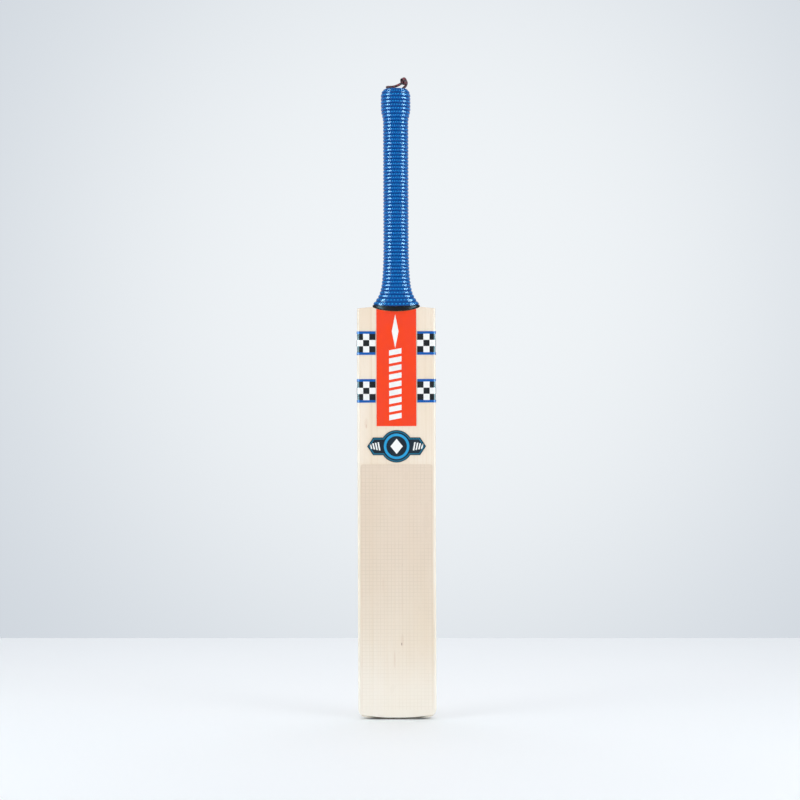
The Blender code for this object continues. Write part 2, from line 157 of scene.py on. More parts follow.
LIP_PROFILE = ((0.25 * MM, 0.25 * MM), (0, -0.2 * MM), (0.3 * MM, -0.75 * MM))  # out and up

# Band under the grip
BAND_Z = (561.8 * MM, 564.7 * MM)
BAND_DROOP = (6.2 * MM, 2.8 * MM)
BAND_THICK = 1.5 * MM
BAND_WIDER = 0.3 * MM  # at its lower edge
BAND_SQUARE = 0.6  # 1 would be a round section, and less is squarer
BAND_COLUMNS = 120
BAND_SIDES = 14
SEAT_HALF = 33.0 * MM
SEAT_STEPS = 32
FAR = 60.0 * MM

# Stickers
FILM = 0.4 * MM
INK = 0.06 * MM  # height of the printed layer
PANEL_HALF = 27.0 * MM
PANEL_Z = 399.0 * MM
PRINT_X = -1.5 * MM
PANEL_DIAMOND = (PRINT_X, 528 * MM, 4.6 * MM, 23 * MM)
PANEL_SLAT = (8.4 * MM, 3.6 * MM, 1.6 * MM)  # half its width, half its height, slant
PANEL_SLATS = 9
SLAT_Z = 412 * MM
SLAT_PITCH = 11 * MM
CHECK_INNER = 28.4 * MM
CHECK_Z = {"upper": (496 * MM, 528 * MM), "lower": (431 * MM, 463 * MM)}
CHECK_STRIPE = 3.4 * MM
CHECK_SQUARE = 8.4 * MM
CHECK_ROWS = 3
CHECK_COLUMNS = 8
CHECK_PARTS = 8  # mesh faces to a square
BADGE_Z = 371.5 * MM
BADGE_HALF = 40.0 * MM
BADGE_SHOULDER = 32.0 * MM
BADGE_WING = 12.0 * MM
BADGE_DISC = 22.0 * MM
BADGE_BORDER = (1.1 * MM, 2.6 * MM)  # in from the outline
BADGE_RING = (17.4 * MM, 14.0 * MM)
BADGE_CORE = (8.4 * MM, 10.4 * MM)
BADGE_SLATS = 4
BADGE_SLAT_X = 23.0 * MM
BADGE_SLAT_PITCH = 3.6 * MM
BADGE_SLAT_HALF = 5.6 * MM
BADGE_SLAT_SHORTER = 0.7 * MM  # each next one
TIP_INSET = 1.3  # how far the outline's tips and corners move in, for an inset of 1
CORNER_INSET = 0.6
ARC_STEPS = 24
CIRCLE_STEPS = 40
BACK_PANEL_HALF = 21.0 * MM
BACK_PANEL_Z = (262 * MM, 418 * MM)
BACK_LIFT = 1.2 * GAP  # the sticker spans the ridge, so it stands a little further off
CHEVRONS = 8
CHEVRON_Z = 286 * MM
CHEVRON_PITCH = 14 * MM
CHEVRON_HIGH = 7 * MM
CHEVRON_HALF = 9 * MM
CHEVRON_SLOPE = 0.35
SHEET_HALF = 48.6 * MM
SHEET_Z = (13 * MM, 347 * MM)
SHEET_THICK = 0.3 * MM
SHEET_CORNER = 3 * MM
SCRIM_PITCH = 5.0 * MM

# Cord
CORD_D = 3.6 * MM
CORD_STRANDS = 3
CORD_SIDES = 18
CORD_STEPS = 150
CORD_TWIST = 6.4 * MM  # length of one turn of the strands
STRAND_DIP = 0.84
STRAND_RISE = 0.2
CORD_ROUTE = tuple(
    Vector(p) * MM
    for p in (
        (-5.4, 5.6, 856.2),
        (-7.4, 5.6, 859.9),
        (-10.2, 4.4, 862.3),
        (-11.6, 1.4, 862.8),
        (-10.0, -1.8, 862.6),
        (-6.4, -3.6, 862.3),
        (-2.2, -4.2, 862.7),
        (1.8, -3.8, 864.0),
        (5.4, -2.8, 865.9),
        (8.8, -1.6, 868.2),
        (11.6, -0.4, 870.8),
        (14.2, 1.4, 871.2),
        (15.0, 3.4, 868.4),
        (13.6, 4.4, 865.0),
        (11.2, 4.0, 862.4),
        (8.6, 3.4, 859.7),
        (7.8, 3.0, 856.2),
    )
)
KNOT_AT = 10.0  # the knot's place among the route's points
KNOT_R = 3.7 * MM
KNOT_THICK = 1.4 * MM
KNOT_TURNS = 2.4
KNOT_STEPS = 84
KNOT_LONG = 4.6 * MM
KNOT_TAIL = (0.3 * MM, -0.2 * MM, 1.2 * MM)  # each step of the cut end


# Mesh helpers


def mesh_from(name, bm, smooth=True, sharp=SHARP):
    bmesh.ops.recalc_face_normals(bm, faces=bm.faces)
    mesh = bpy.data.meshes.new(name)
    bm.to_mesh(mesh)
    bm.free()
    if smooth:
        mesh.shade_smooth()
        mesh.set_sharp_from_angle(angle=math.radians(sharp))
    return mesh


def shown(name, mesh, looks, stands_for=()):
    """A piece of the bat that rides on its body and stands for some CAD nodes."""
    o = bpy.data.objects.new(name, mesh)
    bpy.context.scene.collection.objects.link(o)
    for look in looks:
        mesh.materials.append(look)
    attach(o, BODY)
    if stands_for:
        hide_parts(*stands_for)
    return o


def loose(name, mesh):
    """A hidden object that only shapes others."""
    o = bpy.data.objects.new(name, mesh)
    bpy.context.scene.collection.objects.link(o)
    o.hide_render = True
    return o


def baked(o):
    """The object's mesh with its modifiers applied; the object itself is removed."""
    found = bpy.data.meshes.new_from_object(o.evaluated_get(bpy.context.evaluated_depsgraph_get()))
    bpy.data.objects.remove(o)
    return found


def skin(bm, rows, closed=False, around=False):
    """Faces between rows of points; closed joins each row's ends, around joins the end rows."""
    made = [[bm.verts.new(p) for p in row] for row in rows]
    following = [*made[1:], made[0]] if around else made[1:]
    for low, high in zip(made, following):
        last = len(low) if closed else len(low) - 1
        for i in range(last):
            j = (i + 1) % len(low)
            bm.faces.new((low[i], low[j], high[j], high[i]))
    return made


def prism(name, outline, y0, y1):
    """An outline in X and Z, extruded along Y."""
    bm = bmesh.new()
    face = bm.faces.new([bm.verts.new((x, y0, z)) for x, z in outline])
    moved = bmesh.ops.extrude_face_region(bm, geom=[face])["geom"]
    points = [v for v in moved if isinstance(v, bmesh.types.BMVert)]
    bmesh.ops.translate(bm, verts=points, vec=(0, y1 - y0, 0))
    return mesh_from(name, bm, smooth=False)


def smooth_at(points, t):
    """A point on the smooth curve through the points, t from 0 to 1."""
    at = t * (len(points) - 1)
    i = min(int(at), len(points) - 2)
    f = at - i
    a, b = points[max(i - 1, 0)], points[i]
    c, d = points[i + 1], points[min(i + 2, len(points) - 1)]
    return (
        b * 2 + (c - a) * f + (a * 2 - b * 5 + c * 4 - d) * f**2 + (b * 3 - c * 3 + d - a) * f**3
    ) / 2


def evenly(low, high, steps):
    return [low + (high - low) * i / steps for i in range(steps + 1)]


def eased(t):
    t = min(max(t, 0), 1)
    return t * t * (3 - 2 * t)


# Material helpers


def principled(name, roughness, **settings):
    m = bpy.data.materials.new(name)
    m.use_nodes = True
    tree = m.node_tree
    shader = tree.nodes["Principled BSDF"]
    shader.inputs["Roughness"].default_value = roughness
    for key, value in settings.items():
        shader.inputs[key.replace("_", " ")].default_value = value
    return m, tree, shader


def node(tree, kind, inputs=(), **settings):
    made = tree.nodes.new("ShaderNode" + kind)
    for key, value in settings.items():
        setattr(made, key, value)
    for key, value in dict(inputs).items():
        feed(tree, made.inputs[key], value)
    return made


def feed(tree, socket, value):
    if isinstance(value, bpy.types.NodeSocket):
        tree.links.new(value, socket)
    else:
        socket.default_value = value


def sums(tree, operation, *values, clamp=False):
    made = node(tree, "Math", dict(enumerate(values)), operation=operation, use_clamp=clamp)
    return made.outputs[0]


def place_in(tree):
    """The surface point's coordinates in the bat's frame."""
    return node(tree, "TexCoord").outputs["Object"]


def noise(tree, at, scale, detail=2.0, roughness=0.5):
    """Noise from 0 to 1, with a scale along each axis, in cycles per metre."""
    stretched = node(tree, "Mapping", {"Vector": at, "Scale": scale}).outputs[0]
    inputs = {"Vector": stretched, "Scale": 1.0, "Detail": detail, "Roughness": roughness}
    return node(tree, "TexNoise", inputs).outputs["Fac"]


def between(tree, value, low, high, to_low=0.0, to_high=1.0):
    """The value's smooth step from low to high, as a number from to_low to to_high."""
    inputs = {"Value": value, "From Min": low, "From Max": high}
    inputs |= {"To Min": to_low, "To Max": to_high}
    return node(tree, "MapRange", inputs, interpolation_type="SMOOTHSTEP").outputs[0]


def mixed(tree, share, a, b):
    made = node(tree, "Mix", data_type="RGBA")
    feed(tree, made.inputs[0], share)
    feed(tree, made.inputs[6], a)
    feed(tree, made.inputs[7], b)
    return made.outputs[2]


def bump(tree, shader, height, distance, strength):
    inputs = {"Height": height, "Distance": distance, "Strength": strength}
    made = node(tree, "Bump", inputs)
    tree.links.new(made.outputs[0], shader.inputs["Normal"])


def rgb(red, green, blue):
    """A colour given as it looks on a screen, 0 to 255, as linear light."""
    def linear(c):
        c /= 255
        return c / 12.92 if c <= 0.04045 else ((c + 0.055) / 1.055) ** 2.4

    return (linear(red), linear(green), linear(blue), 1.0)


# Materials


def willow_look(tree, at):
    """Colour of pale willow, with painted bounce light making it paler towards the toe, and the height
    of its grain.
    """
    x, y, z = node(tree, "SeparateXYZ", {"Vector": at}).outputs
    warp = noise(tree, at, (14, 14, 2.2), 1.0)
    across = sums(tree, "MULTIPLY_ADD", warp, 0.0065, sums(tree, "MULTIPLY_ADD", y, 0.1, x))
    uneven = noise(tree, node(tree, "CombineXYZ", {"X": across}).outputs[0], (55, 1, 1), 1.0)
    phase = sums(tree, "MULTIPLY_ADD", uneven, 2.4, sums(tree, "DIVIDE", across, 10.5 * MM))
    year = sums(tree, "FRACT", phase)
    late = sums(tree, "POWER", year, 9.0)
    fibres = noise(tree, at, (900, 900, 9), 3.0, 0.6)
    fine = noise(tree, at, (2600, 2600, 60), 2.0, 0.6)
    patches = noise(tree, at, (24, 24, 5), 2.0)
    pale, deep = rgb(249, 234, 217), rgb(234, 211, 182)
    base = mixed(tree, between(tree, patches, 0.3, 0.72), pale, rgb(244, 225, 202))
    base = mixed(tree, sums(tree, "MULTIPLY", late, 0.42), base, deep)
    base = mixed(tree, between(tree, fibres, 0.5, 0.78, 0.0, 0.35), base, rgb(232, 208, 178))
    base = mixed(tree, between(tree, fine, 0.62, 0.8, 0.0, 0.3), base, rgb(214, 180, 143))
    # Painted light: the wood turns paler towards the toe, in place of the bounce light from the pale
    # floor.
    base = mixed(tree, between(tree, z, 0.13, 0.03, 0.0, 0.65), base, rgb(255, 244, 233))
    base = mixed(tree, knot_mark(tree, x, y, z), base, rgb(138, 96, 66))
    base = mixed(tree, stain_mark(tree, x, y, z, fibres), base, rgb(205, 160, 128))
    height = sums(tree, "MULTIPLY_ADD", fibres, 0.6, sums(tree, "MULTIPLY", fine, 0.4))
    return base, height


def spot(tree, x, z, at_x, at_z, half_x, half_z):
    """1 in the middle of an upright ellipse, falling to 0 at its edge."""
    across = sums(tree, "DIVIDE", sums(tree, "SUBTRACT", x, at_x), half_x)
    along = sums(tree, "DIVIDE", sums(tree, "SUBTRACT", z, at_z), half_z)
    far = sums(tree, "ADD", sums(tree, "POWER", across, 2.0), sums(tree, "POWER", along, 2.0))
    return between(tree, far, 1.0, 0.1)


def front_only(tree, y, mark):
    return sums(tree, "MULTIPLY", mark, sums(tree, "LESS_THAN", y, FACE_Y + 2 * MM))


def knot_mark(tree, x, y, z):
    """One small knot in the face, and a fainter fleck above it."""
    knot = spot(tree, x, z, 6.2 * MM, 102.5 * MM, 1.1 * MM, 2.6 * MM)
    fleck = spot(tree, x, z, 7.4 * MM, 210 * MM, 0.7 * MM, 3.0 * MM)
    both = sums(tree, "MULTIPLY_ADD", fleck, 0.35, sums(tree, "MULTIPLY", knot, 0.85))
    return front_only(tree, y, both)


def stain_mark(tree, x, y, z, fibres):
    """Faint upright streaks and one soft stain in the wood of the face."""
    marks = (  # place, half size and strength of each
        (-3.4, 82, 1.3, 16, 0.30),
        (6.6, 186, 0.9, 62, 0.22),
        (-19, 184, 0.9, 13, 0.3),
        (-41, 403, 3.4, 9, 0.16),
        (-41, 399, 1.0, 3.4, 0.3),
        (7.0, 108, 2.6, 11, 0.22),
    )
    total = 0.0
    for at_x, at_z, half_x, half_z, share in marks:
        mark = spot(tree, x, z, at_x * MM, at_z * MM, half_x * MM, half_z * MM)
        total = sums(tree, "MULTIPLY_ADD", mark, share, total)
    streaky = sums(tree, "MULTIPLY", total, between(tree, fibres, 0.2, 0.8, 0.55, 1.3))
    return front_only(tree, y, streaky)


def willow_material():
    m, tree, shader = principled("willow_wood", 0.42, Specular_IOR_Level=0.15)
    colour, height = willow_look(tree, place_in(tree))
    feed(tree, shader.inputs["Base Color"], colour)
    feed(tree, shader.inputs["Roughness"], between(tree, height, 0.3, 0.7, 0.38, 0.52))
    bump(tree, shader, height, 0.05 * MM, 0.35)
    return m


def sheet_material():
    """Clear film with a fine woven mesh in it, over the willow; fainter towards the toe, where its
    tint gives way to painted bounce light.
    """
    m, tree, shader = principled("scrim_film", 0.3, Specular_IOR_Level=0.2)
    at = place_in(tree)
    colour, height = willow_look(tree, at)
    x, _, z = node(tree, "SeparateXYZ", {"Vector": at}).outputs
    lines = []
    for place in (x, z):
        cell = sums(tree, "FRACT", sums(tree, "DIVIDE", place, SCRIM_PITCH))
        from_line = sums(tree, "ABSOLUTE", sums(tree, "SUBTRACT", cell, 0.5))
        lines.append(between(tree, from_line, 0.11, 0.03))
    worn = noise(tree, at, (45, 45, 30), 2.0)
    mesh = sums(tree, "MAXIMUM", *lines)
    mesh = sums(tree, "MULTIPLY", mesh, between(tree, worn, 0.3, 0.65, 0.35, 1.0))
    # The film's own tint, fading out towards the toe as painted bounce light from the floor.
    tint_and_painted_toe_light = between(tree, z, 0.0, 0.25, 0.0, 0.75)
    colour = mixed(tree, tint_and_painted_toe_light, colour, rgb(232, 211, 191))
    clear = between(tree, z, 0.03, 0.26, 0.16, 0.36)
    colour = mixed(tree, sums(tree, "MULTIPLY", mesh, clear), colour, rgb(206, 186, 160))
    feed(tree, shader.inputs["Base Color"], colour)
    feed(tree, shader.inputs["Roughness"], between(tree, worn, 0.3, 0.7, 0.27, 0.38))
    relief = sums(tree, "MULTIPLY_ADD", mesh, 0.8, sums(tree, "MULTIPLY", height, 0.3))
    bump(tree, shader, relief, 0.06 * MM, 0.5)
    return m


def rubber_material(name, colour, light, roughness, shine=0.5):
    """Moulded rubber: an even colour with faint mottling, and a slightly matt skin."""
    m, tree, shader = principled(name, roughness, Specular_IOR_Level=shine)
    at = place_in(tree)
    cloud = noise(tree, at, (60, 60, 60), 3.0)
    grain = noise(tree, at, (900,) * 3, 2.0)
    tone = mixed(tree, between(tree, cloud, 0.35, 0.7, 0.0, 0.5), colour, light)
    tone = mixed(tree, between(tree, grain, 0.55, 0.75, 0.0, 0.25), tone, light)
    feed(tree, shader.inputs["Base Color"], tone)
    low, high = roughness - 0.05, roughness + 0.1
    feed(tree, shader.inputs["Roughness"], between(tree, grain, 0.3, 0.7, low, high))
    bump(tree, shader, grain, 0.04 * MM, 0.25)
    return m


def guard_material():
    """The toe guard's dark strip, pale towards its two ends: painted light over the shade under the
    toe's lifted ends.
    """
    m, tree, shader = principled("guard_dark", 0.5, Specular_IOR_Level=0.3)
    at = place_in(tree)
    x = node(tree, "SeparateXYZ", {"Vector": at}).outputs[0]
    cloud = noise(tree, at, (60, 60, 60), 3.0)
    tone = mixed(tree, between(tree, cloud, 0.35, 0.7), rgb(92, 80, 70), rgb(110, 98, 88))
    # Painted light: the strip turns pale towards its ends, over the shade where the toe lifts off the
    # table.
    end = between(tree, sums(tree, "ABSOLUTE", x), *GUARD_PAINTED_LIGHT)
    tone = mixed(tree, end, tone, rgb(236, 222, 206))
    feed(tree, shader.inputs["Base Color"], tone)
    feed(tree, shader.inputs["Roughness"], between(tree, cloud, 0.3, 0.7, 0.45, 0.6))
    return m


def grip_material():
    """Glossy blue rubber, with painted shade deep between the rings and painted highlights pale on the
    nubs' tops.
    """
    m, tree, shader = principled("grip_blue", 0.2, Specular_IOR_Level=0.2)
    at = place_in(tree)
    relief = node(tree, "Attribute", attribute_name=RELIEF).outputs["Fac"]
    cloud = noise(tree, at, (60, 60, 60), 3.0)
    grain = noise(tree, at, (900,) * 3, 2.0)
    # Painted shade: the rubber is darker down between the rings, where shade falls.
    tone = mixed(tree, between(tree, relief, 0.0, 0.6), rgb(0, 62, 130), rgb(0, 82, 158))
    # Painted highlight: the nubs' tops are paler blue, as if catching the light.
    tone = mixed(tree, between(tree, relief, 0.972, 0.998), tone, rgb(40, 160, 232))
    tone = mixed(tree, between(tree, cloud, 0.35, 0.7, 0.0, 0.25), tone, rgb(0, 98, 172))
    feed(tree, shader.inputs["Base Color"], tone)
    feed(tree, shader.inputs["Roughness"], between(tree, grain, 0.3, 0.7, 0.15, 0.21))
    bump(tree, shader, grain, 0.04 * MM, 0.06)
    return m


def vinyl_material(name, colour, deep):
    """Printed sticker: even ink with a faint mottle under a thin clear coat."""
    m, tree, shader = principled(name, 0.34, Specular_IOR_Level=0.25, Coat_Weight=0.12)
    shader.inputs["Coat Roughness"].default_value = 0.2
    at = place_in(tree)
    cloud = noise(tree, at, (90, 90, 40), 3.0)
    grain = noise(tree, at, (1500,) * 3, 2.0)
    tone = mixed(tree, between(tree, cloud, 0.35, 0.7, 0.0, 0.6), colour, deep)
    tone = mixed(tree, between(tree, grain, 0.6, 0.8, 0.0, 0.2), tone, deep)
    feed(tree, shader.inputs["Base Color"], tone)
    feed(tree, shader.inputs["Roughness"], between(tree, cloud, 0.3, 0.7, 0.3, 0.4))
    ripple = noise(tree, at, (160, 160, 60), 2.0)
    bump(tree, shader, ripple, 0.12 * MM, 0.2)
    return m


def cane_material():
    """Cane: tight brown fibres along the handle, and open pores where they are cut across."""
    m, tree, shader = principled("cane_fibre", 0.5, Specular_IOR_Level=0.35)
    at = place_in(tree)
    fibres = noise(tree, at, (1400, 1400, 18), 3.0, 0.65)
    pores = noise(tree, at, (2600, 2600, 40), 1.0)
    tone = mixed(tree, between(tree, fibres, 0.3, 0.7), rgb(214, 178, 122), rgb(176, 130, 76))
    tone = mixed(tree, between(tree, pores, 0.62, 0.72, 0.0, 0.7), tone, rgb(96, 62, 34))
    feed(tree, shader.inputs["Base Color"], tone)
    feed(tree, shader.inputs["Roughness"], between(tree, fibres, 0.3, 0.7, 0.42, 0.6))
    bump(tree, shader, sums(tree, "SUBTRACT", fibres, pores), 0.08 * MM, 0.4)
    return m


def twine_material():
    """Waxed thread wound round and round, in turns of about a millimetre, with painted shade in the
    grooves and painted light on each turn's crown.
    """
    m, tree, shader = principled("wound_thread", 0.7, Specular_IOR_Level=0.3)
    at = place_in(tree)
    z = node(tree, "SeparateXYZ", {"Vector": at}).outputs[2]
    turn = sums(tree, "FRACT", sums(tree, "DIVIDE", z, 1.0 * MM))
    round_turn = sums(tree, "SINE", sums(tree, "MULTIPLY", turn, math.pi))
    fuzz = noise(tree, at, (700, 700, 2500), 3.0)
    # Painted shade and highlight: each turn is darker in the groove beside the next and paler on its
    # rounded crown.
    tone = mixed(tree, round_turn, rgb(120, 100, 66), rgb(214, 196, 150))
    tone = mixed(tree, between(tree, fuzz, 0.4, 0.7, 0.0, 0.4), tone, rgb(168, 146, 100))
    feed(tree, shader.inputs["Base Color"], tone)
    bump(tree, shader, round_turn, 0.3 * MM, 0.7)
    return m


def cord_material():
    """Twisted cotton: dark red strands flecked with black."""
    m, tree, shader = principled("cord_cotton", 0.75, Specular_IOR_Level=0.25)
    shader.inputs["Sheen Weight"].default_value = 0.25
    at = place_in(tree)
    patch = noise(tree, at, (420, 420, 420), 1.0)
    lint = noise(tree, at, (3000,) * 3, 2.0)
    tone = mixed(tree, between(tree, patch, 0.46, 0.62), rgb(30, 12, 22), rgb(128, 22, 34))
    tone = mixed(tree, between(tree, lint, 0.55, 0.75, 0.0, 0.3), tone, rgb(170, 70, 76))
    feed(tree, shader.inputs["Base Color"], tone)
    bump(tree, shader, lint, 0.15 * MM, 0.6)
    return m


# Camera and studio


def make_camera():
    data = bpy.data.cameras.new("camera")
    data.lens = LENS
    data.sensor_width = SENSOR
    camera = bpy.data.objects.new("camera", data)
    camera.location = CAMERA_AT
    camera.rotation_euler = (math.pi / 2, LEAN, 0)
    bpy.context.scene.collection.objects.link(camera)
    bpy.context.scene.camera = camera


def make_table():
    """A pale table top that ends behind the bat, turned with the camera so its edge is level."""
    m, tree, shader = principled("table_white", 0.55, Specular_IOR_Level=0.2)
    at = place_in(tree)
    cloud = noise(tree, at, (2, 2, 2), 2.0)
    tone = mixed(tree, cloud, rgb(248, 249, 251), rgb(252, 252, 253))
    feed(tree, shader.inputs["Base Color"], tone)
    bm = bmesh.new()
    bmesh.ops.create_cube(bm, size=1)
    size = (2 * TABLE_HALF, TABLE_BACK + TABLE_HALF, TABLE_THICK)
    middle = (0, (TABLE_BACK - TABLE_HALF) / 2, -TABLE_THICK / 2)
    bmesh.ops.scale(bm, vec=size, verts=bm.verts)
    bmesh.ops.translate(bm, vec=middle, verts=bm.verts)
    mesh = mesh_from("table", bm, smooth=False)
    mesh.materials.append(m)
    table = bpy.data.objects.new("table", mesh)
    bpy.context.scene.collection.objects.link(table)
    table.rotation_euler = (0, LEAN, 0)


def make_world():
    """A pale backdrop, brightest behind the bat and greyer towards -Y, over a pale floor."""
    world = bpy.data.worlds.new("studio")
    world.use_nodes = True
    bpy.context.scene.world = world
    tree = world.node_tree
    ray = node(tree, "TexCoord").outputs["Generated"]
    unit = node(tree, "VectorMath", {0: ray}, operation="NORMALIZE").outputs[0]
    aim = {0: unit, 1: Vector(GLOW_AT).normalized()}
    dot = node(tree, "VectorMath", aim, operation="DOT_PRODUCT").outputs["Value"]
    squared = sums(tree, "MULTIPLY", sums(tree, "SUBTRACT", 1.0, dot, clamp=True), 2.0)
    away = sums(tree, "DIVIDE", sums(tree, "SQRT", squared), GLOW_REACH)
    fall = sums(tree, "POWER", away, GLOW_POWER)
    glow = sums(tree, "EXPONENT", sums(tree, "MULTIPLY", fall, -1.0))
    colour = mixed(tree, glow, rgb(204, 211, 219), rgb(240, 244, 247))
    _, ahead, rise = node(tree, "SeparateXYZ", {"Vector": unit}).outputs
    colour = mixed(tree, between(tree, ahead, 0.1, 0.85), rgb(170, 176, 182), colour)
    colour = mixed(tree, sums(tree, "LESS_THAN", rise, FLOOR_RISE), colour, rgb(240, 243, 248))
    feed(tree, tree.nodes["Background"].inputs["Color"], colour)


def make_light(name, azimuth, rise, distance, size, power, gloss=False):
    """A soft box at an azimuth round the handle, 0 at the camera and growing to the right.

    With gloss it shows in the surfaces' gloss only, and without it lights their colour only.
    """
    data = bpy.data.lights.new(name, "AREA")
    data.shape = "RECTANGLE"
    data.size, data.size_y = size
    data.energy = power
    data.color = COOL if gloss else WARM
    light = bpy.data.objects.new(name, data)
    a = math.radians(azimuth)
    middle = Vector(LIGHTS_AIM)
    light.location = middle + Vector((distance * math.sin(a), -distance * math.cos(a), rise))
    light.rotation_euler = (middle - light.location).to_track_quat("-Z", "Y").to_euler()
    light.visible_camera = False
    light.visible_diffuse = not gloss
    light.visible_glossy = gloss
    bpy.context.scene.collection.objects.link(light)


def make_studio():
    make_table()
    make_world()
    make_light("softbox_left", -60, -0.2, 1.7, SOFTBOX, 12)
    make_light("softbox_right", 55, -0.2, 1.7, SOFTBOX, 13)
    make_light("strip_left", -62, 0.25, 1.65, STRIP, 165, gloss=True)
    make_light("strip_right", 68, 0.25, 1.65, STRIP, 165, gloss=True)
    make_light("overhead", 180, 1.9, 0.35, OVERHEAD, 29)
    bpy.context.scene.view_settings.view_transform = "Standard"


# Cord


def tube(name, path, profile):
    """A closed tube along a path; profile(i, angle) is its radius."""
    up = Vector((0, 1, 0))
    rows = []
    for i, here in enumerate(path):
        ahead = (path[min(i + 1, len(path) - 1)] - path[max(i - 1, 0)]).normalized()
        side = ahead.cross(up).normalized()
        up = side.cross(ahead).normalized()
        row = []
        for k in range(CORD_SIDES):
            a = 2 * math.pi * k / CORD_SIDES
            row.append(here + (side * math.cos(a) + up * math.sin(a)) * profile(i, a))
        rows.append(row)
    bm = bmesh.new()
    made = skin(bm, rows, closed=True)
    for row in (made[0], made[-1]):
        bm.faces.new(row)
    return mesh_from(name, bm, sharp=70)


def along(points):
    """Distance along the points at each of them."""
    found = [0.0]
    for a, b in zip(points, points[1:]):
        found.append(found[-1] + (b - a).length)
    return found


def strand(reach, angle):
    """The twisted strands' radius round the cord, as a share of its own."""
    turn = CORD_STRANDS * (angle - 2 * math.pi * reach / CORD_TWIST)
    return STRAND_DIP + STRAND_RISE * abs(math.cos(turn / 2))


def make_cord(look):
    path = [smooth_at(CORD_ROUTE, i / CORD_STEPS) for i in range(CORD_STEPS + 1)]
    reach = along(path)

    def strands(i, angle):
        return CORD_D / 2 * strand(reach[i], angle)

    cord = shown("hang_cord_twisted", tube("cord", path, strands), [look], ["hang_cord"])
    knot = make_knot(look)


def make_knot(look):
    """The tie: the cord wound round itself, with a short cut end."""
    at = KNOT_AT / (len(CORD_ROUTE) - 1)
    here = smooth_at(CORD_ROUTE, at)
    ahead = (smooth_at(CORD_ROUTE, at + 0.01) - here).normalized()
    side = ahead.cross(Vector((0, 1, 0))).normalized()
    up = side.cross(ahead).normalized()
    wound = []
    for i in range(KNOT_STEPS + 1):
        a = 2 * math.pi * KNOT_TURNS * i / KNOT_STEPS
        forward = ahead * ((i / KNOT_STEPS - 0.5) * KNOT_LONG)
        wound.append(here + forward + (side * math.cos(a) + up * math.sin(a)) * KNOT_R)
    tail = [wound[-1] + Vector(KNOT_TAIL) * k for k in (1, 2, 3)]
    reach = along(wound + tail)

    def strands(i, angle):
        return KNOT_THICK * strand(reach[i], angle)

    tied = tube("knot", wound + tail, strands)
    return shown("cord_knot_tied", tied, [look], ["cord_knot"])


# Blade


def depths(z):
    """Depth of the edge and of the spine at a height."""
    stations = DEPTHS
    i = max(k for k in range(len(stations) - 1) if k == 0 or stations[k][0] <= z)
    low, high = stations[i], stations[i + 1]
    before = stations[max(i - 1, 0)]
    after = stations[min(i + 2, len(stations) - 1)]
    span = high[0] - low[0]
    t = (z - low[0]) / span
    found = []
    for k in (1, 2):
        slope_low = (high[k] - before[k]) / (high[0] - before[0]) * span
        slope_high = (after[k] - low[k]) / (after[0] - low[0]) * span
        found.append(
            low[k] * (1 + 2 * t) * (1 - t) ** 2
            + high[k] * t * t * (3 - 2 * t)
            + slope_low * t * (1 - t) ** 2
            - slope_high * t * t * (1 - t)
        )
    return found


def edge_drop(x):
    """How far the rounded edge has turned in at x, from 0 to 1."""
    out = max(0.0, abs(x) - (HALF_WIDTH - EDGE_ROUND)) / EDGE_ROUND
    return 1 - math.sqrt(max(0.0, 1 - out * out))


def front_y(x):
    return FACE_Y + FRONT_ROUND * edge_drop(x)


def back_y(x, z):
    edge, spine = depths(z)
    across = math.hypot(x / HALF_WIDTH, SPINE_ROUND) - SPINE_ROUND
    fall = 1 - across / (math.hypot(1, SPINE_ROUND) - SPINE_ROUND)
    rise = (spine - edge) * max(0.0, fall) ** SCOOP
    return FACE_Y + edge + rise - BACK_ROUND * edge_drop(x)


def rounded_columns(steps=9):
    """Places across the rounded edge, where it turns evenly."""
    turns = [math.pi / 2 * (i + 1) / steps for i in range(steps)]
    return [HALF_WIDTH - EDGE_ROUND * (1 - math.sin(a)) for a in turns]


def columns():
    flat = HALF_WIDTH - EDGE_ROUND
    count = round(flat / COLUMN_STEP)
    return [flat * i / count for i in range(count + 1)] + rounded_columns()


def toe_arc(x):
    out = max(0.0, abs(x) - TOE_FLAT)
    return TOE_RADIUS - math.sqrt(TOE_RADIUS**2 - out**2)


def toe_z(x):
    """Height of the toe's underside: level, then a large arc, then the corner's arc."""
    centre_x = HALF_WIDTH - TOE_CORNER
    reach = TOE_RADIUS - TOE_CORNER
    centre_z = TOE_RADIUS - math.sqrt(reach**2 - (centre_x - TOE_FLAT) ** 2)
    meet = TOE_FLAT + TOE_RADIUS * (centre_x - TOE_FLAT) / reach
    if abs(x) <= meet:
        return toe_arc(x)
    return centre_z - math.sqrt(max(0.0, TOE_CORNER**2 - (abs(x) - centre_x) ** 2))


def wood_bottom(x):
    return max(toe_z(x), toe_arc(x) + GUARD_THICK + GAP)


def shoulder_z(x):
    return SHOULDER_Z + (SHOULDER_X - x) * SHOULDER_FALL


def section(xs, height, shrink):
    """Half a section, front then back, shrunk all round; height gives each place's z."""
    narrow = (xs[-1] - shrink) / xs[-1]
    front = [(x * narrow, front_y(x) + shrink, height(x)) for x in xs]
    back = [(x * narrow, back_y(x, height(x)) - shrink, height(x)) for x in reversed(xs)]
    return front + back


def half_solid(name, xs, rows):
    """The right half of a solid, open in the middle; each row has a height and a shrinkage."""
    bm = bmesh.new()
    made = skin(bm, [section(xs, h, s) for h, s in rows])
    for row in (made[0], made[-1]):
        n = len(row)
        for i in range(n // 2 - 1):
            bm.faces.new((row[i], row[i + 1], row[n - 2 - i], row[n - 1 - i]))
    return mesh_from(name, bm)


def rising(low, high, t):
    return lambda x: low(x) + t * (high(x) - low(x))


def level(z):
    return lambda x: z


def lifted(height, by):
    return lambda x: height(x) + by


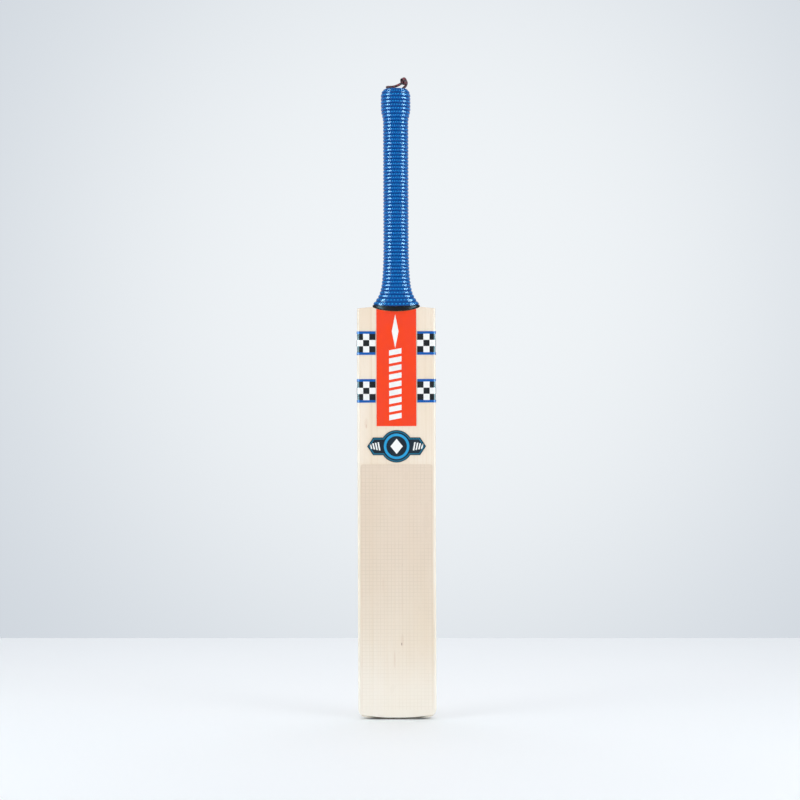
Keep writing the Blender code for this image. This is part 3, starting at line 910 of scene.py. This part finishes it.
def blade_rows():
    bottom = lifted(wood_bottom, ARRIS)
    top = lifted(shoulder_z, -ARRIS)
    toe = [(rising(bottom, level(TOE_BLEND_Z), t), 0.0) for t in evenly(0, 1, TOE_BLEND_ROWS)[1:]]
    count = round((TOP_BLEND_Z - TOE_BLEND_Z) / ROW_STEP)
    step = (TOP_BLEND_Z - TOE_BLEND_Z) / count
    middle = [(level(TOE_BLEND_Z + step * i), 0.0) for i in range(1, count + 1)]
    up = [(rising(level(TOP_BLEND_Z), top, t), 0.0) for t in evenly(0, 1, TOP_BLEND_ROWS)[1:-1]]
    return [*arris_rows(wood_bottom, 1), *toe, *middle, *up, *reversed(arris_rows(shoulder_z, -1))]


def arris_rows(height, inward, radius=ARRIS, steps=4):
    """Rows round an end's edge, from the end itself to where the side begins."""
    rows = []
    for i in range(steps + 1):
        a = math.pi / 2 * i / steps
        raised = lifted(height, inward * radius * (1 - math.cos(a)))
        rows.append((raised, radius * (1 - math.sin(a))))
    return rows


def half_at(z):
    """Half width of the splice's V at a height."""
    t = (z - SPLICE_Z) / (SPLICE_TOP - SPLICE_Z)
    return SPLICE_TIP + t * (SPLICE_WIDE - SPLICE_TIP)


def splice_outline(room):
    low, high = SPLICE_Z - room, SHOULDER_Z + FAR
    near, far = half_at(low) + room, half_at(high) + room
    return ((-near, low), (near, low), (far, high), (-far, high))


def foot_hang(x):
    """How far the grip's foot hangs over the face at x, as a share of its middle's."""
    return max(0.0, 1 - (x / SEAT_HALF) ** 2) ** HANG_POWER


def seat_outline():
    xs = [SEAT_HALF * math.cos(math.pi * i / SEAT_STEPS) for i in range(SEAT_STEPS + 1)]
    low = [(x, BAND_Z[0] - GAP - BAND_DROOP[0] * foot_hang(x)) for x in xs]
    high = SHOULDER_Z + FAR
    return [(-SEAT_HALF, high), (SEAT_HALF, high), *low]


def mirrored(o):
    m = o.modifiers.new("mirror", "MIRROR")
    m.use_axis = (True, False, False)
    m.merge_threshold = MERGE
    return o


def cut(o, other):
    m = o.modifiers.new("cut", "BOOLEAN")
    m.operation = "DIFFERENCE"
    m.solver = "EXACT"
    m.object = other


def make_blade(look):
    whole = mirrored(loose("whole", half_solid("whole", columns(), blade_rows())))
    notch = loose("notch", prism("notch", splice_outline(GAP), -FAR, FAR))
    seat = loose("seat", prism("seat", seat_outline(), -FAR, FAR))
    cut(whole, notch)
    cut(whole, seat)
    mesh = baked(whole)
    for cutter in (notch, seat):
        bpy.data.objects.remove(cutter)
    mesh.shade_smooth()
    mesh.set_sharp_from_angle(angle=math.radians(SHARP))
    shown("blade_willow", mesh, [look], ["blade"])


def make_toe_guard(look):
    xs = evenly(0, GUARD_HALF, GUARD_COLUMNS)
    low = arris_rows(toe_z, 1, GUARD_ARRIS)
    high = arris_rows(lifted(toe_arc, GUARD_THICK), -1, GUARD_TOP_ARRIS, 2)
    guard = mirrored(loose("guard", half_solid("guard", xs, [*low, *reversed(high)])))
    mesh = baked(guard)
    shown("toe_guard_moulded", mesh, [look], ["toe_guard"])


# Grip


def fade(d, size, reach, power):
    return size * math.exp(-((d / reach) ** power))


def swell(z):
    """The grip's radii: across, to the front and to the back."""
    d = max(0.0, z - GRIP_Z)
    wide = GRIP_R + BULGE * eased((z - BULGE_Z[0]) / (BULGE_Z[1] - BULGE_Z[0]))
    across = fade(d, *FLARE_ACROSS) + fade(d, *FLARE_LONG)
    return [wide + flare for flare in (across, fade(d, *FLARE_FRONT), fade(d, *FLARE_BACK))]


def oval(radii, z, count, droop=0.0):
    """A ring round the handle's axis, which may hang lower at the front and the back."""
    across, front, back = radii
    ring = []
    for i in range(count):
        a = 2 * math.pi * i / count
        deep = back if math.sin(a) > 0 else front
        low = droop * abs(math.sin(a)) ** (2 * HANG_POWER)
        ring.append((across * math.cos(a), deep * math.sin(a), z - low))
    return ring


def grip_line(step):
    """Rings up the grip and in over its domed top, a step apart along its outer surface."""
    straight = round((DOME_Z - GRIP_Z) / step)
    rings = [("side", GRIP_Z + (DOME_Z - GRIP_Z) * i / straight) for i in range(straight)]
    wide = GRIP_R + BULGE
    arc = math.pi / 2 * math.sqrt(((wide - LIP_R) ** 2 + DOME_RISE**2) / 2)
    turns = round(arc / step)
    return rings + [("dome", math.pi / 2 * i / turns) for i in range(turns + 1)]


def grip_ring(kind, value, inward, count):
    if kind == "side":
        fall = fade(value - GRIP_Z, GRIP_DROOP, GRIP_DROOP_REACH, 1)
        return oval([r - inward for r in swell(value)], value, count, fall)
    wide, rise = GRIP_R + BULGE - inward, DOME_RISE - inward
    r = LIP_R + (wide - LIP_R) * math.cos(value)
    return oval((r, r, r), DOME_Z + rise * math.sin(value), count)


def nub_height(row, column, last):
    """Height of the rubber at a mesh point: a flat-topped rib round each ring, cut into nubs."""
    ring, place = divmod(row, RING_ROWS)
    if row < PLAIN_FOOT or row >= last - PLAIN_TOP:
        return 0.0
    fall = max(0.0, abs(place / RING_ROWS - 0.5) * 2 - NUB_TOP) / (1 - NUB_TOP)
    band = 0.5 + 0.5 * math.cos(math.pi * fall)
    offset = NUB_COLUMNS / 2 if ring % 2 else 0.0
    phase = ((column + offset) % NUB_COLUMNS) / NUB_COLUMNS
    notch = eased((min(phase, 1 - phase) - NUB_HALF) / NUB_SIDE)
    return band * (RIB_HIGH + NUB_HIGH * (1 - notch))


def make_grip(look):
    count = NUBS * NUB_COLUMNS
    line = grip_line(RING_PITCH / RING_ROWS)
    inset = RIB_HIGH + NUB_HIGH
    base = np.array([grip_ring(kind, value, inset, count) for kind, value in line])
    up = np.gradient(base, axis=0)
    across = np.roll(base, -1, axis=1) - np.roll(base, 1, axis=1)
    normal = np.cross(across, up)
    normal /= np.linalg.norm(normal, axis=2, keepdims=True)
    rows, cols = base.shape[:2]
    high = [[nub_height(r, c, rows) for c in range(cols)] for r in range(rows)]
    outer = base + normal * np.array(high)[:, :, None]
    lip = LIP_R - LIP_TURN
    middle = DOME_Z + DOME_RISE - GRIP_WALL / 2
    edge = [oval((lip + out,) * 3, middle + rise, count) for out, rise in LIP_PROFILE]
    coarse = line[:: RING_ROWS * INSIDE_RINGS]
    inner = [grip_ring(kind, value, GRIP_WALL, count) for kind, value in coarse]
    bm = bmesh.new()
    skin(bm, [*outer.tolist(), *edge, *reversed(inner)], closed=True, around=True)
    mesh = mesh_from("grip", bm, sharp=60)
    relief = np.full(len(mesh.vertices), RELIEF_INSIDE)
    relief[: rows * cols] = np.array(high).ravel() / inset
    mesh.attributes.new(RELIEF, "FLOAT", "POINT").data.foreach_set("value", relief)
    shown("grip_nubbed", mesh, [look], ["grip"])


def make_band(look):
    """The rolled rubber band under the grip's foot."""
    rows = []
    for k in range(BAND_SIDES):
        a = 2 * math.pi * k / BAND_SIDES
        out = 0.5 + 0.5 * math.copysign(abs(math.cos(a)) ** BAND_SQUARE, math.cos(a))
        up = 0.5 + 0.5 * math.copysign(abs(math.sin(a)) ** BAND_SQUARE, math.sin(a))
        wider = BAND_WIDER * (1 - up)
        radii = [r + wider - BAND_THICK * (1 - out) for r in swell(GRIP_Z)]
        z = BAND_Z[0] + (BAND_Z[1] - BAND_Z[0]) * up
        droop = BAND_DROOP[0] + (BAND_DROOP[1] - BAND_DROOP[0]) * up
        rows.append(oval(radii, z, BAND_COLUMNS, droop))
    bm = bmesh.new()
    skin(bm, rows, closed=True, around=True)
    shown("grip_band_rolled", mesh_from("band", bm, sharp=80), [look], ["grip_band"])


# Stickers


def solidified(o, thickness):
    m = o.modifiers.new("solidify", "SOLIDIFY")
    m.thickness = thickness
    m.offset = 1
    return o


def film(name, rows, thickness=FILM):
    """A thin closed skin laid over rows of points, built outwards from them."""
    bm = bmesh.new()
    skin(bm, rows)
    mesh = bpy.data.meshes.new(name)
    bm.normal_update()
    bm.to_mesh(mesh)
    bm.free()
    return baked(solidified(loose(name, mesh), thickness))


def front_prism(name, outline, lift=0.0, thick=FILM):
    """A flat sticker on the face, lifted off the wood's gap by what lies under it."""
    return prism(name, outline, FACE_Y - GAP - lift - thick, FACE_Y - GAP - lift)


def joined(name, meshes):
    bm = bmesh.new()
    for mesh in meshes:
        bm.from_mesh(mesh)
        bpy.data.meshes.remove(mesh)
    mesh = bpy.data.meshes.new(name)
    bm.to_mesh(mesh)
    bm.free()
    return mesh


def diamond(x, z, half_x, half_z):
    return [(x - half_x, z), (x, z - half_z), (x + half_x, z), (x, z + half_z)]


def slat(x, z, half_x, half_z, slant):
    """A bar across, its right end raised by the slant."""
    return [
        (x - half_x, z - half_z - slant),
        (x + half_x, z - half_z + slant),
        (x + half_x, z + half_z + slant),
        (x - half_x, z + half_z - slant),
    ]


def make_front_panel(red, white):
    xs = evenly(-PANEL_HALF, PANEL_HALF, 60)
    low = [(x, PANEL_Z) for x in xs]
    high = [(x, BAND_Z[0] - BAND_DROOP[0] * foot_hang(x) - 2 * GAP) for x in xs]
    panel = front_prism("panel", low + high[::-1])
    shown("front_panel_film", panel, [red], ["front_panel"])
    shapes = [diamond(*PANEL_DIAMOND)]
    shapes += [slat(PRINT_X, SLAT_Z + SLAT_PITCH * i, *PANEL_SLAT) for i in range(PANEL_SLATS)]
    marks = [front_prism("mark", shape, FILM, INK) for shape in shapes]
    shown("front_panel_print", joined("marks", marks), [white])


def check_point(x, side, z):
    """A point a gap clear of the wood, on the front or the back of the right edge."""
    drop = edge_drop(x)
    clear = GAP * (1 - drop)
    y = front_y(x) - clear if side == "front" else back_y(x, z) + clear
    return (x + GAP * drop, y, z)


def check_line(z, steps):
    """Round the right edge from the front to the back, in equal steps along the surface."""
    xs = [*evenly(CHECK_INNER, HALF_WIDTH - EDGE_ROUND, 40), *rounded_columns(24)]
    points = [check_point(x, "front", z) for x in xs]
    points += [check_point(x, "back", z) for x in reversed(xs)]
    reach = along([Vector(p) for p in points])
    places = [steps[1] * i for i in range(steps[0] + 1)]
    return list(zip(*(np.interp(places, reach, axis) for axis in np.array(points).T)))


def check_film(z0, z1, sign):
    """Stripe, three rows of squares and stripe, round one edge; sign is 1 right and -1 left."""
    steps = (CHECK_COLUMNS * CHECK_PARTS, CHECK_SQUARE / CHECK_PARTS)
    heights = [z0, *evenly(z0 + CHECK_STRIPE, z1 - CHECK_STRIPE, CHECK_ROWS), z1]
    bm = bmesh.new()
    grid = []
    for z in heights:
        grid.append([bm.verts.new((sign * x, y, z)) for x, y, z in check_line(z, steps)])
    for r, (low, high) in enumerate(zip(grid, grid[1:])):
        for c in range(steps[0]):
            corners = (low[c], low[c + 1], high[c + 1], high[c])
            face = bm.faces.new(corners[::sign])
            stripe = r in (0, CHECK_ROWS + 1)
            face.material_index = 0 if stripe else 1 + (c // CHECK_PARTS + r - 1) % 2
    mesh = bpy.data.meshes.new("check")
    bm.to_mesh(mesh)
    bm.free()
    return mesh


def make_checks(*looks):
    for name, (z0, z1) in CHECK_Z.items():
        for hand, sign in (("right", 1), ("left", -1)):
            o = loose("check", check_film(z0, z1, sign))
            for look in looks:
                o.data.materials.append(look)
            node_name = f"edge_check_{name}_{hand}"
            thickened = baked(solidified(o, FILM))
            shown(node_name + "_film", thickened, [], [node_name])


def badge_outline(inset=0.0):
    """Pointed wings either side of a disc."""
    disc, wing = BADGE_DISC - inset, BADGE_WING - inset
    start = math.asin(wing / disc)
    turn = evenly(start, math.pi - start, ARC_STEPS)
    arc = [(disc * math.cos(a), disc * math.sin(a)) for a in turn]
    half, shoulder = BADGE_HALF - TIP_INSET * inset, BADGE_SHOULDER - CORNER_INSET * inset
    upper = [(half, 0), (shoulder, wing), *arc, (-shoulder, wing)]
    lower = [(-x, -z) for x, z in upper]
    return [(x, z + BADGE_Z) for x, z in upper + lower]


def ring_between(name, outer, inner, y0, y1):
    """A flat frame between two outlines with as many points, as a closed solid."""
    corners = ((outer, y0), (inner, y0), (inner, y1), (outer, y1))
    rows = [[(x, y, z) for x, z in line] for line, y in corners]
    bm = bmesh.new()
    skin(bm, rows, closed=True, around=True)
    return mesh_from(name, bm, smooth=False)


def badge_layer(outer, inner):
    near = FACE_Y - GAP - FILM
    return ring_between("layer", outer, inner, near - INK, near)


def circle(radius):
    turns = [2 * math.pi * i / CIRCLE_STEPS for i in range(CIRCLE_STEPS)]
    return [(radius * math.cos(a), BADGE_Z + radius * math.sin(a)) for a in turns]


def make_badge(navy, teal, sky, white):
    shown("badge_film", front_prism("badge", badge_outline()), [navy], ["badge"])
    shown("badge_border", badge_layer(*(badge_outline(inset) for inset in BADGE_BORDER)), [teal])
    shown("badge_ring", badge_layer(*(circle(radius) for radius in BADGE_RING)), [sky])
    marks = [front_prism("core", diamond(0, BADGE_Z, *BADGE_CORE), FILM, INK)]
    for side in (-1, 1):
        for i in range(BADGE_SLATS):
            x = BADGE_SLAT_X + BADGE_SLAT_PITCH * i
            half = BADGE_SLAT_HALF - BADGE_SLAT_SHORTER * i
            lean = [(x - MM, -half), (x + MM, -half), (x + 3 * MM, half), (x + MM, half)]
            outline = [(side * a, b + BADGE_Z) for a, b in lean]
            marks.append(front_prism("slat", outline, FILM, INK))
    shown("badge_marks", joined("marks", marks), [white])


def make_back_panel(red, white):
    """The sticker along the spine of the back, with its own print."""
    xs = evenly(BACK_PANEL_HALF, -BACK_PANEL_HALF, 32)
    zs = evenly(*BACK_PANEL_Z, 40)
    rows = [[(x, back_y(x, z) + BACK_LIFT, z) for x in xs] for z in zs]
    panel = film("back", rows)
    panel.shade_smooth()
    panel.set_sharp_from_angle(angle=math.radians(40))
    shown("back_panel_film", panel, [red], ["back_panel"])
    prints = []
    for i in range(CHEVRONS):
        low = CHEVRON_Z + CHEVRON_PITCH * i
        rows = []
        for base in evenly(low, low + CHEVRON_HIGH, 3):
            row = [(x, base + CHEVRON_SLOPE * abs(x)) for x in evenly(CHEVRON_HALF, -CHEVRON_HALF, 16)]
            rows.append([(x, back_y(x, z) + BACK_LIFT + FILM, z) for x, z in row])
        prints.append(film("chevron", rows, INK))
    shown("back_panel_print", joined("back_marks", prints), [white])


def make_sheet(look):
    x = SHEET_HALF - SHEET_CORNER
    low, high = SHEET_Z[0] + SHEET_CORNER, SHEET_Z[1] - SHEET_CORNER
    outline = []
    for mid_x, mid_z, start in ((x, high, 0), (-x, high, 90), (-x, low, 180), (x, low, 270)):
        for turn in evenly(start, start + 90, 6):
            a = math.radians(turn)
            out, up = SHEET_CORNER * math.cos(a), SHEET_CORNER * math.sin(a)
            outline.append((mid_x + out, mid_z + up))
    mesh = prism("sheet", outline, FACE_Y - GAP - SHEET_THICK, FACE_Y - GAP)
    shown("face_sheet_film", mesh, [look], ["face_sheet"])


def dress_cad(cane, spring, twine):
    """Better materials on the CAD nodes that stay: the cane, its rubber layers and the binding."""
    for name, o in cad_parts.items():
        look = None
        if name.startswith("cane_strip"):
            look = cane
        elif name.startswith("rubber_spring"):
            look = spring
        elif name == "twine_binding":
            look = twine
        if look:
            for held in o.material_slots:
                held.material = look


def main():
    make_camera()
    make_cord(cord_material())
    make_studio()
    make_blade(willow_material())
    make_toe_guard(guard_material())
    make_grip(grip_material())
    make_band(rubber_material("band_black", rgb(28, 28, 31), rgb(38, 38, 42), 0.3, 0.08))
    red = vinyl_material("vinyl_red", rgb(252, 66, 14), rgb(246, 58, 12))
    white = vinyl_material("vinyl_white", rgb(250, 249, 247), rgb(240, 238, 235))
    black = vinyl_material("vinyl_black", rgb(22, 22, 26), rgb(32, 32, 36))
    blue = vinyl_material("vinyl_blue", rgb(10, 92, 180), rgb(16, 84, 166))
    navy = vinyl_material("vinyl_navy", rgb(16, 30, 44), rgb(24, 40, 54))
    teal = vinyl_material("vinyl_teal", rgb(24, 110, 140), rgb(20, 98, 126))
    sky = vinyl_material("vinyl_sky", rgb(40, 160, 216), rgb(30, 146, 200))
    make_front_panel(red, white)
    make_checks(blue, black, white)
    make_badge(navy, teal, sky, white)
    make_back_panel(red, white)
    make_sheet(sheet_material())
    dress_cad(
        cane_material(),
        rubber_material("spring_black", rgb(34, 33, 33), rgb(50, 48, 47), 0.6),
        twine_material(),
    )


main()
